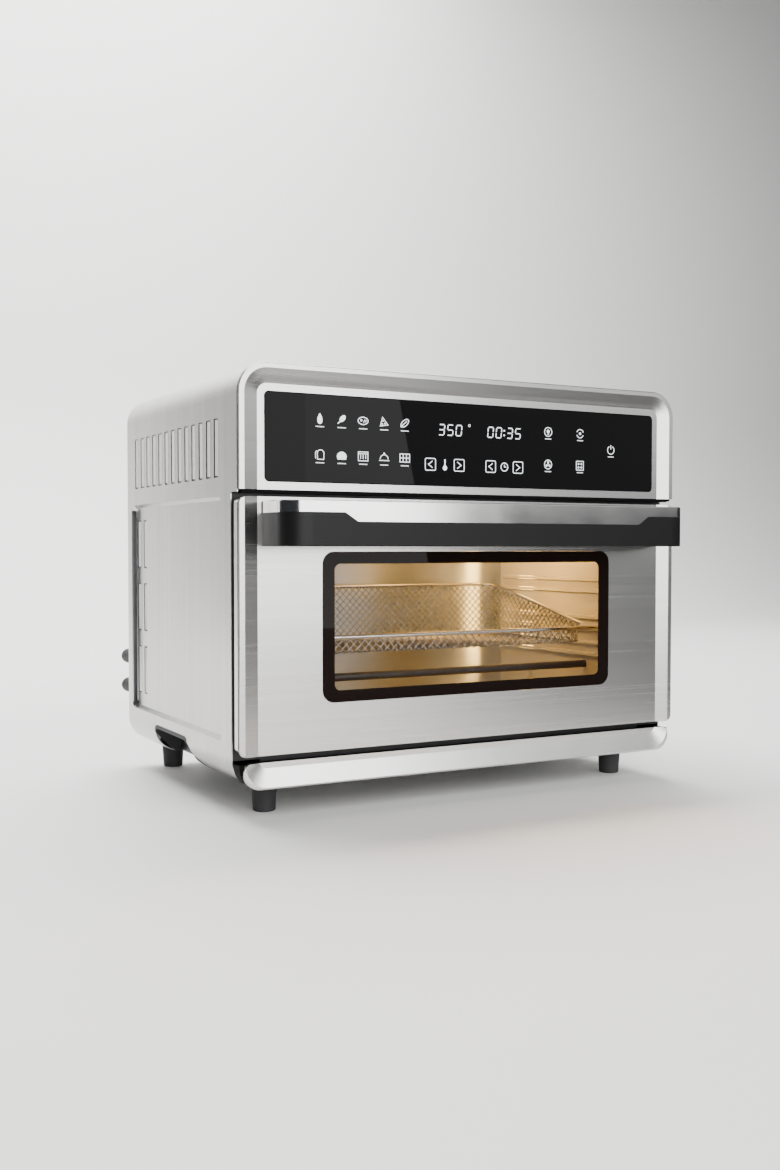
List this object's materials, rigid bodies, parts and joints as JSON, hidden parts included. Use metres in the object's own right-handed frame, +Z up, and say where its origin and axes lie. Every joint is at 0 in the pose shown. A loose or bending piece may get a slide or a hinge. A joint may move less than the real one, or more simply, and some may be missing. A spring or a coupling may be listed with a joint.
{
  "type": "toaster oven",
  "caption": "Countertop toaster oven with a rounded steel casing, a black touch fascia, a drop-down glass door with a bar handle, and a lit cavity with a mesh basket.",
  "frame": {"origin": "on the table under the middle of the oven, handle and rear spacers included", "axes": "+X to the oven's right as seen from the front, +Y from the door to the back, +Z up"},
  "size_m": [0.4216, 0.359, 0.348],
  "materials": {
    "brushed_stainless": "brushed stainless sheet",
    "polished_stainless": "polished stainless",
    "pan_stainless": "satin stainless",
    "cavity_steel": "aluminised sheet",
    "zinc_steel": "zinc plated sheet",
    "black_sheet": "black enamel",
    "black_plastic": "fine moulded texture",
    "black_rubber": "matt rubber",
    "black_glass": "back printed black glass",
    "lit_display": "white digits and signs, lit from behind",
    "clear_glass": "clear tempered glass",
    "circuit_board": "green laminate",
    "aluminium_wheel": "pressed aluminium",
    "heater_sheath": "oxidised heater sheath",
    "basket_wire": "plated wire",
    "ceramic": "glazed ceramic"
  },
  "bodies": {
    "casing": {"outer_wrap": "brushed_stainless", "fascia": "brushed_stainless", "sill": "polished_stainless", "cavity_left": "cavity_steel", "cavity_right": "cavity_steel", "cavity_back": "cavity_steel", "cavity_top": "cavity_steel", "cavity_floor": "cavity_steel", "fan_guard": "cavity_steel", "rear_cover": "zinc_steel", "fan_shroud": "zinc_steel", "motor_bracket": "zinc_steel", "hinge_bracket_left": "zinc_steel", "hinge_bracket_right": "zinc_steel", "hinge_pins": "zinc_steel", "door_springs": "zinc_steel", "rear_screws": "zinc_steel", "lamp_housing": "zinc_steel", "thermal_cutout": "zinc_steel", "fan_motor": "zinc_steel", "base_pan": "black_sheet", "front_frame": "black_sheet", "fascia_carrier": "black_plastic", "base_frame": "black_plastic", "cord_gland": "black_plastic", "door_switch": "black_plastic", "relays": "black_plastic", "feet": "black_rubber", "rear_spacers": "black_rubber", "control_glass": "black_glass", "led_display": "lit_display", "lamp_cover": "clear_glass", "lamp_bulb": "clear_glass", "display_board": "circuit_board", "power_board": "circuit_board", "lower_heater_front": "heater_sheath", "lower_heater_rear": "heater_sheath", "upper_heater_front": "heater_sheath", "upper_heater_rear": "heater_sheath", "temperature_probe": "heater_sheath", "heater_bushes": "ceramic"},
    "door": {"door_skin": "brushed_stainless", "door_spacer": "black_rubber", "door_pan": "pan_stainless", "window_border": "black_glass", "door_glass": "clear_glass", "inner_glass": "clear_glass", "door_seal": "black_rubber", "handle_bar": "black_plastic", "handle_trim": "polished_stainless", "handle_screws": "zinc_steel", "hinge_arm_left": "zinc_steel", "hinge_arm_right": "zinc_steel"},
    "basket": {"basket_bowl": "basket_wire", "basket_rim": "basket_wire"},
    "crumb_tray": {"crumb_tray": "cavity_steel"},
    "fan_rotor": {"convection_fan": "aluminium_wheel", "cooling_fan": "aluminium_wheel", "motor_shaft": "zinc_steel"},
    "plunger": {"switch_plunger": "black_plastic"}
  },
  "joints": [
    {"name": "door_hinge", "type": "hinge", "parent": "casing", "child": "door", "pos_m": [0, -0.1255, 0.0575], "axis": [1, 0, 0], "range_deg": [0, 90], "stiffness_Nm_per_rad": 0.5, "springref_deg": -57.3},
    {"name": "fan_spin", "type": "hinge", "parent": "casing", "child": "fan_rotor", "pos_m": [0, -0.0145, 0.3], "axis": [0, 0, 1], "continuous": true},
    {"name": "basket_slide", "type": "slide", "parent": "casing", "child": "basket", "axis": [0, -1, 0], "range_m": [0, 0.018]},
    {"name": "crumb_tray_slide", "type": "slide", "parent": "casing", "child": "crumb_tray", "axis": [0, -1, 0], "range_m": [0, 0.006]},
    {"name": "plunger_travel", "type": "slide", "parent": "casing", "child": "plunger", "axis": [0, -1, 0], "range_m": [0, 0.0031]}
  ],
  "couplings": [
    {"joint": "plunger_travel", "follows": "door_hinge", "m_per_rad": 0.0019}
  ]
}
